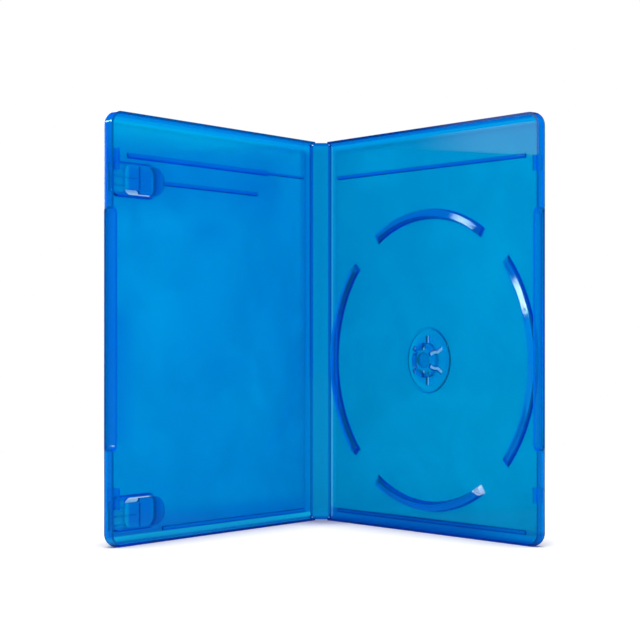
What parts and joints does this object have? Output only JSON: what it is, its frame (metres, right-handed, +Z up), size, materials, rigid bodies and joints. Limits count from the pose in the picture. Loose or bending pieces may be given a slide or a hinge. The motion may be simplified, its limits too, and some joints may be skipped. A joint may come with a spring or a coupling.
{
  "type": "disc case",
  "caption": "Translucent blue plastic case for a game disc, standing open like a book, with a disc hub, disc guards, booklet clips, latches and a clear outer sleeve.",
  "frame": {"origin": "bottom centre of the open case's bounding box, on the surface that it stands on", "axes": "+Z up along the hinges; the back tray lies in the XZ plane with its inside towards -Y and its opening edge towards +X; the front cover stands open towards -Y"},
  "size_m": [0.1414, 0.1386, 0.1715],
  "materials": {
    "blue_plastic": "gloss",
    "clear_film": "gloss"
  },
  "bodies": {
    "tray": {"back_tray": "blue_plastic", "sleeve_back": "clear_film"},
    "spine_strip": {"spine": "blue_plastic", "sleeve_spine": "clear_film", "back_hinge": "blue_plastic", "front_hinge": "blue_plastic"},
    "cover": {"front_cover": "blue_plastic", "sleeve_front": "clear_film"}
  },
  "joints": [
    {"name": "back_fold", "type": "hinge", "parent": "tray", "child": "spine_strip", "pos_m": [-0.0641, 0.06768, 0.08575], "axis": [0, 0, -1], "range_deg": [-38.4, 51.6], "deforming": ["back_hinge"]},
    {"name": "front_fold", "type": "hinge", "parent": "spine_strip", "child": "cover", "pos_m": [-0.06944, 0.06094, 0.08575], "axis": [0, 0, -1], "range_deg": [-37.1, 52.9], "deforming": ["front_hinge"]}
  ]
}
